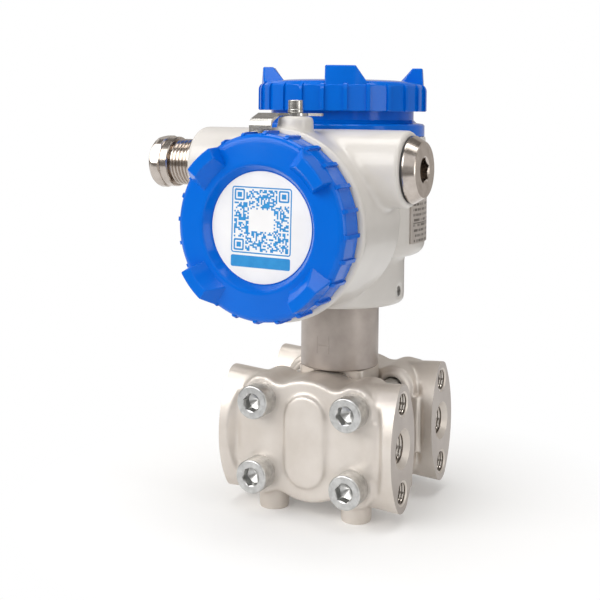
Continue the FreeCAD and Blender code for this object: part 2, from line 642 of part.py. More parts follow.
hollows = [
    cylinder("barrel_bore", D("barrel_bore_r"), nose_end - D("barrel_floor") + 1.0, 0.0, -D("barrel_floor"), barrel_z, "-Y"),
    cylinder("cup_bore", D("cup_bore_r"), D("cup_top") - D("cup_floor") + 8.0, 0.0, 0.0, D("cup_floor")),
    cylinder("collar_seat", D("collar_r") + 0.25, 20.0, 0.0, 0.0, D("cup_top")),
    cylinder("neck_socket", D("neck_bore_r"), D("spigot_top") - D("base_bottom") + 2.0, 0.0, 0.0, D("base_bottom") - 1.0),
    cylinder("wire_way", D("wire_bore_r"), 40.0, 0.0, 0.0, D("spigot_top") - 2.0),
    cylinder("conduit_bore_left", D("conduit_bore_r"), 16.0, -D("conduit_left"), -D("conduit_y"), D("conduit_z"), "+X"),
    cylinder("conduit_bore_right", D("conduit_bore_r"), 16.0, D("conduit_right"), -D("conduit_y"), D("conduit_z"), "-X"),
    cylinder("conduit_way", 7.5, D("conduit_left") + D("conduit_right"), -D("conduit_left"), -D("conduit_y"), D("conduit_z"), "+X"),
    cylinder("feed_hole", 4.0, 12.0, 0.0, -30.0, barrel_z + 8.0, "-Y"),
    cylinder("set_screw_head", 2.9, 3.2, D("base_r") + 1.0, 0.0, 104.8, "-X"),
    cylinder("set_screw_way", 1.62, 16.0, D("base_r"), 0.0, 104.8, "-X"),
    cylinder("lock_tap", 1.75, 12.0, D("lock_x"), -D("lock_y"), D("lock_seat_z"), "-Z"),
]
plate_screws = [(-10.0, 158.0), (53.0, 146.0)]
for index, (angle, height) in enumerate(plate_screws):
    hole = cylinder("plate_tap_%d" % index, 1.1, 6.0, 0.0, 0.0, height, "+X")
    hole.Placement = FreeCAD.Placement(
        V(38.0 * math.cos(math.radians(angle)), 38.0 * math.sin(math.radians(angle)), height),
        Rot(V(0, 0, 1), angle).multiply(AXES["+X"]))
    hollows.append(hole)
node(cut("housing", housing_solid, *hollows), "housing")

# round-head set screw that holds the housing on the neck, cross recess outside
screw_head = cylinder("set_head", 2.82, 1.6, D("base_r") - 0.5, 0.0, 104.8, "-X")
screw_head_soft = fillet("set_head_soft", screw_head, 0.4, lambda edge, mid: mid.x > 31.0)
screw_shank = cylinder("set_shank", 1.55, 13.4, D("base_r") - 1.0, 0.0, 104.8, "-X")
cross_a = box("cross_a", D("base_r") - 1.5, D("base_r") + 1.0, -2.0, 2.0, 104.45, 105.15)
cross_b = box("cross_b", D("base_r") - 1.5, D("base_r") + 1.0, -0.35, 0.35, 102.8, 106.8)
node(cut("set_screw", fuse("set_blank", screw_head_soft, screw_shank), cross_a, cross_b), "set_screw")

# --------------------------------------------------------------- blue collar
collar_points = [
    (D("collar_bore_r"), D("cup_top") - 5.0),
    (D("cup_bore_r") - 0.05, D("cup_top") - 5.0),
    (D("cup_bore_r") - 0.05, D("cup_top")),
    (D("collar_r"), D("cup_top")),
    (D("collar_r"), D("collar_top") - 0.8),
    (D("collar_r") - 0.8, D("collar_top")),
    (D("nose_r") + 1.4, D("collar_top") + 0.5),
    (D("nose_r"), D("collar_top") + 1.9),
    (D("nose_r"), D("collar_nose_top") - 0.8),
    (D("nose_r") - 0.8, D("collar_nose_top")),
    (D("collar_bore_r"), D("collar_nose_top")),
]
node(revolve("terminal_collar", collar_points), "terminal_collar")

# -------------------------------------------------------------- screwed covers
RIBS = 24
LUG_TOP = 21.0
LUG_SLOPE = 8.5


def cover_profile(outer, shoulder_inset):
    """Half section (radius, height) of the cover's outside."""
    points = [(0.0, 0.0), (outer - 0.5, 0.0), (outer, 0.5), (outer, D("skirt_h"))]
    steps = 6
    for index in range(1, steps + 1):
        angle = math.radians(90.0 * index / steps)
        rise = D("shoulder") * math.sin(angle)
        run = (D("shoulder") + shoulder_inset) * (1.0 - math.cos(angle))
        points.append((outer - run, D("skirt_h") + rise))
    points.append((D("recess_rim_r") + 1.6, D("cover_h")))
    points.append((D("recess_rim_r") + 0.6, D("cover_h") - 0.1))
    points.append((D("recess_rim_r"), D("cover_h") - 0.6))
    points.append((D("recess_r") + 0.5, D("recess_h") + 0.9))
    points.append((D("recess_r"), D("recess_h")))
    points.append((0.0, D("recess_h")))
    return points


def screwed_cover(name, axis, x, y, z, lug_phase, rib_phase):
    """Cover with ribs, flats and four grip lugs; the open edge sits at x, y, z."""
    body = revolve(name + "_body", cover_profile(D("facet_r") + 0.4, 0.0))
    flats = prism(name + "_flats", D("facet_r") * 2, 40.0, 0.0, 0.0, -1.0, sides=RIBS, turn=rib_phase)
    faceted = common(name + "_faceted", body, flats)
    ribbed = revolve(name + "_ribbed", cover_profile(D("rib_r"), 0.9))
    blades = []
    for index in range(RIBS // 2):
        blade = doc.addObject("Part::Box", "%s_blade_%d" % (name, index))
        bind(blade, "Length", 90.0)
        bind(blade, "Width", D("rib_w"))
        bind(blade, "Height", 13.0)
        turn = Rot(V(0, 0, 1), rib_phase + index * 360.0 / RIBS)
        blade.Placement = FreeCAD.Placement(turn.multVec(V(-45.0, -NUMBER["rib_w"] / 2, 0)), turn)
        blades.append(blade)
    ribs = common(name + "_ribs", ribbed, fuse(name + "_blades", *blades))
    lugs = []
    for index in range(4):
        angle = lug_phase + 90.0 * index
        section = [
            (30.4, D("ceiling_h") + 1.5), (30.4, D("cover_h") - 0.3), (35.2, D("lug_h")), (40.2, D("lug_h")),
            (40.9, D("skirt_h")), (37.4, D("skirt_h")), (37.4, D("ceiling_h") + 1.5),
        ]
        ring = revolve("%s_lug_%d" % (name, index), section, angle=LUG_TOP + LUG_SLOPE)
        place(ring, 0.0, 0.0, 0.0, Rot(V(0, 0, 1), angle).multiply(Rot(V(1, 0, 0), 90)))
        rise = D("lug_h") - D("cover_h")
        reach = 2 * math.pi * 36.0 * LUG_SLOPE / 360.0
        wedge = profile(
            "%s_wedge_%d" % (name, index),
            [(0.0, D("lug_h")), (0.0, D("lug_h") + 2.0), (reach + 6.0, D("lug_h") + 2.0),
             (reach + 6.0, D("cover_h") - 1.2), (reach, D("cover_h") - 1.2)])
        slab = doc.addObject("Part::Extrusion", "%s_slope_%d" % (name, index))
        slab.Base = wedge
        slab.Dir = V(0, 0, 1)
        slab.LengthFwd = 20.0
        slab.Solid = True
        # the wedge lies across the lug, measured from where its flat top ends
        top_end = angle + LUG_TOP
        slab_turn = Rot(V(0, 0, 1), top_end).multiply(
            Rot(V(0, 0, 1), 90)).multiply(Rot(V(1, 0, 0), 90))
        wedge.Placement = FreeCAD.Placement(V(0, 0, 0), slab_turn)
        start = slab_turn.multVec(V(0, 0, 1))
        wedge.Placement.Base = start * 26.0
        slab.Dir = start
        trimmed = cut("%s_lug_cut_%d" % (name, index), ring, slab)
        lugs.append(fillet(
            "%s_lug_soft_%d" % (name, index), trimmed, 0.7,
            lambda edge, mid: mid.z > NUMBER["cover_h"] + 0.4))
    shell = fuse(name + "_shell", faceted, ribs, *lugs)
    bore = cylinder(name + "_bore", D("cover_bore_r"), D("ceiling_h") + 1.0, 0.0, 0.0, -1.0)
    groove = cylinder(name + "_groove", D("cover_bore_r") + 2.2, 2.6, 0.0, 0.0, 1.6)
    lead = cone(name + "_lead", D("cover_bore_r") + 0.8, D("cover_bore_r"), 0.8, 0.0, 0.0, -0.01)
    result = cut(name, shell, bore, groove, lead)
    place(result, x, y, z, AXES[axis])
    return result


def cover_seal(name, axis, x, y, z):
    outer = cylinder(name + "_out", D("cover_bore_r") + 2.1, 2.4, 0.0, 0.0, 1.7)
    inner = cylinder(name + "_in", D("cover_bore_r") + 0.0, 2.4, 0.0, 0.0, 1.7)
    result = cut(name, outer, inner)
    place(result, x, y, z, AXES[axis])
    return result


node(screwed_cover("front_cover", "-Y", 0.0, -D("front_cover_y"), barrel_z, 31.0, 12.5), "front_cover")
node(cover_seal("front_cover_seal", "-Y", 0.0, -D("front_cover_y"), barrel_z), "front_cover_seal")
node(screwed_cover("top_cover", "+Z", 0.0, 0.0, D("top_cover_z"), -78.0, 11.0), "top_cover")
node(cover_seal("top_cover_seal", "+Z", 0.0, 0.0, D("top_cover_z")), "top_cover_seal")

label = cylinder(
    "label_disc", D("recess_r") - 0.3, 0.3, 0.0, -D("front_cover_y") - D("recess_h"), barrel_z, "-Y")
node(label, "front_label")

# ------------------------------------------------------------------ cover lock
lock_top = D("lock_seat_z")
eye = cylinder("lock_eye", 5.6, 1.3, D("lock_x"), -D("lock_y"), lock_top)
finger = box("lock_finger", 0.0, 14.5, -2.6, 2.6, 0.0, 1.3)
finger_tip = fillet("lock_finger_soft", finger, 2.4, lambda edge, mid: mid.x > 14.0 and edge.BoundBox.ZLength > 1.0)
place(finger_tip, D("lock_x"), -D("lock_y"), lock_top, Rot(V(0, 0, 1), 58.0))
arm_sheet = profile(
    "lock_arm_sheet",
    [(-1.0, 0.0), (-1.0, 1.3), (-6.6, 1.3), (-12.0, -0.7), (-13.8, -1.4), (-14.9, -2.6), (-15.3, -4.2),
     (-15.3, -9.4), (-14.0, -9.4), (-14.0, -4.4), (-13.7, -3.5), (-13.0, -2.7), (-11.8, -2.1), (-6.6, 0.0)],
    Rot(V(0, 0, 1), 90).multiply(Rot(V(1, 0, 0), 90)), -10.9, -61.6, lock_top)
arm = doc.addObject("Part::Extrusion", "lock_arm")
arm.Base = arm_sheet
arm.Dir = V(1, 0, 0)
arm.LengthFwd = 10.9
arm.Solid = True
bridge = profile(
    "lock_bridge_sheet", [(-10.9, -66.2), (0.0, -66.2), (6.5, -64.8), (8.6, -61.0), (6.0, -55.2), (-2.0, -58.6), (-10.9, -62.6)],
    Rot(), 0.0, 0.0, lock_top)
bridge_slab = doc.addObject("Part::Extrusion", "lock_bridge")
bridge_slab.Base = bridge
bridge_slab.Dir = V(0, 0, 1)
bridge_slab.LengthFwd = 1.3
bridge_slab.Solid = True
lock_union = fuse("lock_union", eye, finger_tip, arm, bridge_slab)
lock_hole = cylinder("lock_hole", 2.1, 6.0, D("lock_x"), -D("lock_y"), lock_top - 2.0)
lock_trim = cylinder("lock_trim", D("rib_r") + 0.45, 40.0, 0.0, -66.0, barrel_z, "-Y")
node(cut("lock_plate", lock_union, lock_hole, lock_trim), "lock_plate")
washer_out = cylinder("washer_out", 3.6, 1.9, D("lock_x"), -D("lock_y"), lock_top + 1.3)
washer_soft = fillet("washer_soft", washer_out, 0.5, lambda edge, mid: is_round(edge))
washer_in = cylinder("washer_in", 1.75, 4.0, D("lock_x"), -D("lock_y"), lock_top)
node(cut("lock_washer", washer_soft, washer_in), "lock_washer")
lock_head = cylinder("lock_head", 3.45, 4.0, D("lock_x"), -D("lock_y"), lock_top + 3.2)
lock_head_soft = fillet("lock_head_soft", lock_head, 0.4, lambda edge, mid: mid.z > NUMBER["lock_seat_z"] + 6.0)
lock_shank = cylinder("lock_shank", 1.75, 14.0, D("lock_x"), -D("lock_y"), lock_top + 4.0, "-Z")
lock_key = prism("lock_key", 3.0, 2.2, D("lock_x"), -D("lock_y"), lock_top + 7.2, "-Z")
node(cut("lock_screw", fuse("lock_screw_blank", lock_head_soft, lock_shank), lock_key), "lock_screw")

# ---------------------------------------------------------------- cable gland
cy = -D("conduit_y")
cz = D("conduit_z")
left = -D("conduit_left")
gland_points = [
    (5.5, -13.0), (D("conduit_bore_r"), -13.0), (D("conduit_bore_r"), 0.0), (D("gland_flange_r"), 0.0),
    (D("gland_flange_r"), 3.0), (D("gland_flange_r") - 0.5, 3.5),
]
for index in range(5):
    level = 4.2 + index * 1.9
    gland_points += [
        (D("gland_thread_r") - 0.8, level), (D("gland_thread_r"), level + 0.5),
        (D("gland_thread_r"), level + 1.0), (D("gland_thread_r") - 0.8, level + 1.5),
    ]
gland_points += [(9.5, 14.0), (9.5, 22.0), (5.5, 22.0)]
node(revolve("gland_body", gland_points, "-X", left, cy, cz), "gland_body")
nut_points = [
    (9.56, 14.4), (D("gland_nut_r") - 0.5, 14.4), (D("gland_nut_r"), 14.9), (D("gland_nut_r"), 18.4),
    (D("gland_nut_r") - 0.3, 18.8), (D("gland_nut_r") + 0.7, 19.4), (D("gland_nut_r") + 0.7, 22.0),
]
for index in range(1, 7):
    turn = math.radians(14.0 * index)
    nut_points.append((D("gland_nut_r") + 0.7 - 4.6 * (1.0 - math.cos(turn)), 22.0 + 4.2 * math.sin(turn)))
nut_points += [(6.3, 26.2), (6.3, 22.6), (9.56, 22.6)]
nut_round = revolve("gland_nut_round", nut_points, "-X", left, cy, cz)
nut_flats = prism("gland_nut_flats", 24.2, 30.0, left, cy, cz, "-X", turn=20.0)
nut_collar = cylinder("gland_nut_collar", D("gland_nut_r") + 2.0, 19.0, left, cy, cz, "-X")
nut_envelope = fuse("gland_nut_envelope", nut_flats, nut_collar)
node(common("gland_nut", nut_round, nut_envelope), "gland_nut")
seal_points = [(3.0, 20.0), (5.4, 20.0), (5.4, 22.3), (6.2, 22.7), (6.2, 25.2), (5.0, 25.2), (3.0, 24.0)]
node(revolve("gland_seal", seal_points, "-X", left, cy, cz), "gland_seal")

# -------------------------------------------------------------- stopping plug
right = D("conduit_right")
gasket_out = cylinder("gasket_out", D("plug_flange_r") - 0.2, 0.8, right, cy, cz, "+X")
gasket_in = cylinder("gasket_in", D("conduit_bore_r"), 0.8, right, cy, cz, "+X")
node(cut("plug_gasket", gasket_out, gasket_in), "plug_gasket")
plug_points = [
    (0.0, -10.0), (D("conduit_bore_r") - 1.0, -10.0), (D("conduit_bore_r"), -9.0), (D("conduit_bore_r"), 0.8),
    (D("plug_flange_r") - 0.3, 0.8), (D("plug_flange_r"), 1.1), (D("plug_flange_r"), 1.7),
    (D("plug_face_r") + 0.5, D("plug_out") - 0.4), (D("plug_face_r"), D("plug_out")), (0.0, D("plug_out")),
]
plug_round = revolve("plug_round", plug_points, "+X", right, cy, cz)
plug_key = prism("plug_key", D("plug_socket_af"), 8.0, right + D("plug_out"), cy, cz, "-X", turn=12.0)
plug_lead = cone(
    "plug_lead", D("plug_socket_af") * 0.58 + 0.2, D("plug_socket_af") * 0.5, 0.8, right + D("plug_out"), cy, cz, "-X")
node(cut("conduit_plug", plug_round, plug_key, plug_lead), "conduit_plug")

# ------------------------------------------------------------------ nameplate
plate_out = cylinder("plate_out", D("cup_r") + 0.8, 32.0, 0.0, 0.0, 129.6)
plate_in = cylinder("plate_in", D("cup_r"), 32.0, 0.0, 0.0, 129.6)
plate_ring = cut("plate_ring", plate_out, plate_in)
sector = profile(
    "plate_sector",
    [(0.0, 0.0), (80.0 * math.cos(math.radians(-14.2)), 80.0 * math.sin(math.radians(-14.2))), (90.0, 30.0),
     (80.0 * math.cos(math.radians(58.0)), 80.0 * math.sin(math.radians(58.0)))],
    Rot(), 0.0, 0.0, 120.0)
sector_slab = doc.addObject("Part::Extrusion", "plate_sector_slab")
sector_slab.Base = sector
sector_slab.Dir = V(0, 0, 1)
sector_slab.LengthFwd = 50.0
sector_slab.Solid = True
plate_blank = common("plate_blank", plate_ring, sector_slab)
plate_holes = []
screw_bodies = []
for index, (angle, height) in enumerate(plate_screws):
    turn = Rot(V(0, 0, 1), angle).multiply(AXES["+X"])
    along = V(math.cos(math.radians(angle)), math.sin(math.radians(angle)), 0)
    hole = cylinder("plate_hole_%d" % index, 1.1, 8.0, 0.0, 0.0, height)
    hole.Placement = FreeCAD.Placement(along * 38.0 + V(0, 0, height), turn)
    plate_holes.append(hole)
    stem = cylinder("drive_stem_%d" % index, 1.1, 5.0, 0.0, 0.0, height)
    stem.Placement = FreeCAD.Placement(along * 38.2 + V(0, 0, height), turn)
    cap = cylinder("drive_cap_%d" % index, 2.0, 1.0, 0.0, 0.0, height)
    cap.Placement = FreeCAD.Placement(along * (NUMBER["cup_r"] + 0.8) + V(0, 0, height), turn)
    screw_bodies.append(fuse("drive_screw_%d" % index, stem, cap))
node(cut("nameplate", plate_blank, *plate_holes), "nameplate")
group = doc.addObject("Part::Compound", "nameplate_screws")
group.Links = screw_bodies
node(group, "nameplate_screws")

# -------------------------------------------------- parts inside the housing
module = cylinder("module_case", D("barrel_bore_r") - 0.5, 24.0, 0.0, -52.0, barrel_z, "-Y")
module_soft = fillet("module_soft", module, 1.0, lambda edge, mid: is_round(edge))
module_window = box("module_window", -15.0, 15.0, -78.0, -75.0, barrel_z - 9.0, barrel_z + 12.0)
module_holes = []
module_screws = []
for sx, tag in ((1, "right"), (-1, "left")):
    module_holes.append(cylinder("module_hole_" + tag, 1.5, 30.0, 24.0 * sx, -50.0, barrel_z, "-Y"))
    stem = cylinder("module_stem_" + tag, 1.5, 26.0, 24.0 * sx, -50.0, barrel_z, "-Y")
    cap = cylinder("module_cap_" + tag, 2.8, 1.8, 24.0 * sx, -76.0, barrel_z, "-Y")
    slot = box("module_slot_" + tag, 24.0 * sx - 2.8, 24.0 * sx + 2.8, -78.5, -77.0, barrel_z - 0.4, barrel_z + 0.4)
    module_screws.append(cut("module_screw_" + tag, fuse("module_pin_" + tag, stem, cap), slot))
node(cut("electronics_module", module_soft, module_window, *module_holes), "electronics_module")
group = doc.addObject("Part::Compound", "module_screws")
group.Links = module_screws
node(group, "module_screws")

block = cylinder("block_round", 27.0, 13.0, 0.0, 0.0, D("cup_floor"))
block_soft = fillet("block_soft", block, 1.0, lambda edge, mid: is_round(edge) and mid.z > 145.0)
block_cuts = []
block_screws = []
for index in range(6):
    sx = -17.5 + 7.0 * index
    block_cuts.append(box("block_slot_%d" % index, sx - 2.7, sx + 2.7, -15.0, -4.0, D("cup_floor") + 8.0, D("cup_floor") + 14.0))
    block_cuts.append(cylinder("block_tap_%d" % index, 1.5, 10.0, sx, -9.5, D("cup_floor") + 2.0))
    stem = cylinder("block_stem_%d" % index, 1.5, 6.0, sx, -9.5, D("cup_floor") + 2.0)
    cap = cylinder("block_cap_%d" % index, 2.5, 2.0, sx, -9.5, D("cup_floor") + 8.0)
    slot = box("block_cross_%d" % index, sx - 2.5, sx + 2.5, -9.9, -9.1, D("cup_floor") + 9.2, D("cup_floor") + 10.4)
    block_screws.append(cut("block_screw_%d" % index, fuse("block_pin_%d" % index, stem, cap), slot))
block_cuts.append(cylinder("block_way", 5.0, 20.0, 0.0, 12.0, D("cup_floor") - 2.0))
node(cut("terminal_block", block_soft, *block_cuts), "terminal_block")
group = doc.addObject("Part::Compound", "terminal_screws")
group.Links = block_screws
node(group, "terminal_screws")

# -------------------------------------------------------------- check and save
doc.recompute()
for obj in doc.Objects:
    for state in obj.State:
        if state in ("Invalid", "Error"):
            raise RuntimeError("%s is in state %s" % (obj.Name, state))
for obj, label in NODES:
    shape = obj.Shape
    if shape.isNull() or not shape.isValid() or len(shape.Solids) == 0:
        raise RuntimeError("no valid solid for " + label)

os.makedirs("parts", exist_ok=True)
for obj, label in NODES:
    obj.Shape.exportStep("parts/%s.step" % label)
    bounds = obj.Shape.BoundBox
    print("%-22s solids %d volume %9.1f  x %.1f %.1f  y %.1f %.1f  z %.1f %.1f" % (
        label, len(obj.Shape.Solids), obj.Shape.Volume, bounds.XMin, bounds.XMax,
        bounds.YMin, bounds.YMax, bounds.ZMin, bounds.ZMax))
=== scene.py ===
import math
import random

import bmesh
import bpy
import numpy as np
from mathutils import Matrix, Vector


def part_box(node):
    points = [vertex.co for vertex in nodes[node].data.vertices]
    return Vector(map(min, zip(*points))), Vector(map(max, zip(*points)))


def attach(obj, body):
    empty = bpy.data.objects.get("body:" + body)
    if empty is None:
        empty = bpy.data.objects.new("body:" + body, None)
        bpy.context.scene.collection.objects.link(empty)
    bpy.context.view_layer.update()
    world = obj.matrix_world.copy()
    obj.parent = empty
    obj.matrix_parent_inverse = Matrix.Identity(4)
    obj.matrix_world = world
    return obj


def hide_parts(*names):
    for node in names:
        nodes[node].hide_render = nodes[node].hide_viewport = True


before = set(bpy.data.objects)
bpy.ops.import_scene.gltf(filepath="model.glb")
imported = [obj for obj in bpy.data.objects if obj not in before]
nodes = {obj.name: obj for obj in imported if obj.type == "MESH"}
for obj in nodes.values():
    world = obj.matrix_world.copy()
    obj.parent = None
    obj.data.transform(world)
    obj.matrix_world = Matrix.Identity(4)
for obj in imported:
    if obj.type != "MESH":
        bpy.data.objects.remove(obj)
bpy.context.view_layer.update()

# ---- Studio ------------------------------------------------------------------
# A sheet of white paper on a table, a large soft box high on the left, a weak
# one on the right, a strip overhead, and grey glowing flags: painted reflections.
camera_data = bpy.data.cameras.new("studio_camera")
camera_data.sensor_width = 36.0
camera_data.lens = 66.48
camera_data.shift_x = -0.0282
camera_data.shift_y = -0.3243
camera_data.clip_start = 0.01
camera = bpy.data.objects.new("studio_camera", camera_data)
bpy.context.scene.collection.objects.link(camera)
bpy.context.scene.camera = camera
camera_heading = math.radians(25.64)
camera_roll = math.radians(0.68)
looking = Vector((-math.sin(camera_heading), math.cos(camera_heading), 0.0047))
camera.location = (0.2301, -0.5092, 0.1931)
camera.rotation_mode = "QUATERNION"
rolled = Matrix.Rotation(camera_roll, 4, "Z").to_quaternion()
camera.rotation_quaternion = looking.to_track_quat("-Z", "Y") @ rolled
bpy.context.scene.view_settings.view_transform = "Standard"

world = bpy.data.worlds.new("studio_room")
bpy.context.scene.world = world
world.use_nodes = True
room = world.node_tree
room.nodes.clear()
room_out = room.nodes.new("ShaderNodeOutputWorld")
room_light = room.nodes.new("ShaderNodeBackground")
room_light.inputs["Color"].default_value = (1.0, 0.985, 0.965, 1.0)
room_light.inputs["Strength"].default_value = 0.42
white_sweep = room.nodes.new("ShaderNodeBackground")
white_sweep.inputs["Color"].default_value = (1.0, 1.0, 1.0, 1.0)
white_sweep.inputs["Strength"].default_value = 1.0
seen = room.nodes.new("ShaderNodeLightPath")
camera_or_gloss = room.nodes.new("ShaderNodeMath")
camera_or_gloss.operation = "MAXIMUM"
any_sight = room.nodes.new("ShaderNodeMath")
any_sight.operation = "MAXIMUM"
room_mix = room.nodes.new("ShaderNodeMixShader")
for source, target in (
    (seen.outputs["Is Camera Ray"], camera_or_gloss.inputs[0]),
    (seen.outputs["Is Glossy Ray"], camera_or_gloss.inputs[1]),
    (camera_or_gloss.outputs[0], any_sight.inputs[0]),
    (seen.outputs["Is Transmission Ray"], any_sight.inputs[1]),
    (any_sight.outputs[0], room_mix.inputs[0]),
    (room_light.outputs[0], room_mix.inputs[1]),
    (white_sweep.outputs[0], room_mix.inputs[2]),
    (room_mix.outputs[0], room_out.inputs["Surface"]),
):
    room.links.new(source, target)

unit_square = [(-0.5, -0.5, 0), (0.5, -0.5, 0), (0.5, 0.5, 0), (-0.5, 0.5, 0)]
floor_side = 6.0
floor_mesh = bpy.data.meshes.new("studio_floor")
floor_mesh.from_pydata([Vector(point) * floor_side for point in unit_square], [], [(0, 1, 2, 3)])
floor = bpy.data.objects.new("studio_floor", floor_mesh)
bpy.context.scene.collection.objects.link(floor)
paper = bpy.data.materials.new("studio_paper")
paper.use_nodes = True
paper_tree = paper.node_tree
paper_tree.nodes.clear()
paper_out = paper_tree.nodes.new("ShaderNodeOutputMaterial")
paper_diffuse = paper_tree.nodes.new("ShaderNodeBsdfDiffuse")
paper_diffuse.inputs["Color"].default_value = (0.88, 0.88, 0.88, 1.0)
paper_lift = paper_tree.nodes.new("ShaderNodeEmission")
paper_lift.inputs["Strength"].default_value = 0.12
paper_white = paper_tree.nodes.new("ShaderNodeEmission")
paper_white.inputs["Strength"].default_value = 1.0
paper_add = paper_tree.nodes.new("ShaderNodeAddShader")
paper_sight = paper_tree.nodes.new("ShaderNodeLightPath")
paper_near = paper_tree.nodes.new("ShaderNodeMath")
paper_near.operation = "MAXIMUM"
paper_any = paper_tree.nodes.new("ShaderNodeMath")
paper_any.operation = "MAXIMUM"
paper_place = paper_tree.nodes.new("ShaderNodeTexCoord")
paper_length = paper_tree.nodes.new("ShaderNodeVectorMath")
paper_length.operation = "LENGTH"
paper_fade = paper_tree.nodes.new("ShaderNodeMapRange")
paper_fade.inputs["From Min"].default_value = 0.05
paper_fade.inputs["From Max"].default_value = 0.16
paper_seen = paper_tree.nodes.new("ShaderNodeMixShader")
paper_far = paper_tree.nodes.new("ShaderNodeMixShader")
for source, target in (
    (paper_sight.outputs["Is Camera Ray"], paper_near.inputs[0]),
    (paper_sight.outputs["Is Glossy Ray"], paper_near.inputs[1]),
    (paper_near.outputs[0], paper_any.inputs[0]),
    (paper_sight.outputs["Is Transmission Ray"], paper_any.inputs[1]),
    (paper_place.outputs["Object"], paper_length.inputs[0]),
    (paper_length.outputs["Value"], paper_fade.inputs["Value"]),
    (paper_diffuse.outputs[0], paper_add.inputs[0]),
    (paper_lift.outputs[0], paper_add.inputs[1]),
    (paper_fade.outputs[0], paper_far.inputs[0]),
    (paper_add.outputs[0], paper_far.inputs[1]),
    (paper_white.outputs[0], paper_far.inputs[2]),
    (paper_any.outputs[0], paper_seen.inputs[0]),
    (paper_diffuse.outputs[0], paper_seen.inputs[1]),
    (paper_far.outputs[0], paper_seen.inputs[2]),
    (paper_seen.outputs[0], paper_out.inputs["Surface"]),
):
    paper_tree.links.new(source, target)
floor_mesh.materials.append(paper)

for title, place, aim, width, height, power in (
    ("soft_box_left", (-0.50, -1.05, 0.72), (0.0, 0.0, 0.12), 1.3, 0.8, 12.0),
    ("soft_box_right", (0.95, -0.25, 0.35), (0.0, 0.0, 0.12), 0.25, 0.7, 1.6),
    ("strip_overhead", (0.0, -0.05, 1.1), (0.0, 0.0, 0.1), 1.0, 0.35, 5.0),
):
    lamp_data = bpy.data.lights.new(title, "AREA")
    lamp_data.shape = "RECTANGLE"
    lamp_data.size = width
    lamp_data.size_y = height
    lamp_data.energy = power
    lamp_data.color = (1.0, 0.985, 0.96)
    lamp = bpy.data.objects.new(title, lamp_data)
    bpy.context.scene.collection.objects.link(lamp)
    lamp.location = place
    lamp.rotation_euler = (Vector(aim) - Vector(place)).to_track_quat("-Z", "Y").to_euler()

for title, place, aim, width, height, glow in (
    ("flag_front", (-0.10, -1.25, 0.24), (0.0, 0.0, 0.24), 2.6, 0.62, 0.20),
    ("flag_left", (-1.30, 0.1, 0.55), (0.0, 0.1, 0.55), 1.6, 1.2, 0.34),
    ("flag_right", (1.30, 0.0, 0.55), (0.0, 0.0, 0.55), 2.4, 1.2, 0.42),
    ("flag_back", (0.0, 1.30, 0.72), (0.0, 0.0, 0.72), 2.8, 1.5, 0.55),
    ("flag_ceiling", (0.0, 0.25, 1.60), (0.0, 0.0, 0.0), 2.6, 2.4, 0.18),
    ("flag_table_front", (0.0, -0.95, 0.002), (0.0, -0.95, 1.0), 2.6, 1.0, 0.22),
    ("flag_table_back", (0.0, 0.95, 0.002), (0.0, 0.95, 1.0), 2.6, 1.0, 0.22),
):
    # Each flag glows only in reflections and is hidden from the camera, diffuse light and shadows: a painted
    # reflection, not a lamp.
    reflection_glow_card = bpy.data.materials.new(title)
    reflection_glow_card.use_nodes = True
    reflection_glow_shader = reflection_glow_card.node_tree.nodes["Principled BSDF"]
    reflection_glow_shader.inputs["Base Color"].default_value = (0.0, 0.0, 0.0, 1.0)
    reflection_glow_shader.inputs["Specular IOR Level"].default_value = 0.0
    reflection_glow_shader.inputs["Emission Color"].default_value = (1.0, 0.95, 0.90, 1.0)
    reflection_glow_shader.inputs["Emission Strength"].default_value = glow
    flag_mesh = bpy.data.meshes.new(title)
    flag_mesh.from_pydata(unit_square, [], [(0, 1, 2, 3)])
    flag_mesh.materials.append(reflection_glow_card)
    flag = bpy.data.objects.new(title, flag_mesh)
    bpy.context.scene.collection.objects.link(flag)
    flag.location = place
    flag.scale = (width, height, 1.0)
    flag.rotation_euler = (Vector(aim) - Vector(place)).to_track_quat("Z", "Y").to_euler()
    flag.visible_camera = False
    flag.visible_diffuse = False
    flag.visible_shadow = False

# ---- Sensor body, diaphragms and cover seals -----------------------------------
# A blasted stainless capsule with a block on top for the neck, a thin waved
# steel diaphragm each side and a white ring gasket in each cover.
blasted_grain = bpy.data.node_groups.new("blasted_grain", "ShaderNodeTree")
blasted_grain.interface.new_socket("Grain Size mm", in_out="INPUT", socket_type="NodeSocketFloat")
blasted_grain.interface.new_socket("Patch Size mm", in_out="INPUT", socket_type="NodeSocketFloat")
blasted_grain.interface.new_socket("Grain", in_out="OUTPUT", socket_type="NodeSocketFloat")
blasted_grain.interface.new_socket("Patches", in_out="OUTPUT", socket_type="NodeSocketFloat")
grain_in = blasted_grain.nodes.new("NodeGroupInput")
grain_out = blasted_grain.nodes.new("NodeGroupOutput")
grain_place = blasted_grain.nodes.new("ShaderNodeTexCoord")
for size_name, value_name, detail in (("Grain Size mm", "Grain", 2.0), ("Patch Size mm", "Patches", 4.0)):
    grain_scale = blasted_grain.nodes.new("ShaderNodeMath")
    grain_scale.operation = "DIVIDE"
    grain_scale.inputs[0].default_value = 1000.0
    grain_noise = blasted_grain.nodes.new("ShaderNodeTexNoise")
    grain_noise.inputs["Detail"].default_value = detail
    blasted_grain.links.new(grain_in.outputs[size_name], grain_scale.inputs[1])
    blasted_grain.links.new(grain_place.outputs["Object"], grain_noise.inputs["Vector"])
    blasted_grain.links.new(grain_scale.outputs[0], grain_noise.inputs["Scale"])
    blasted_grain.links.new(grain_noise.outputs["Fac"], grain_out.inputs[value_name])


sheen_spread = 0.12


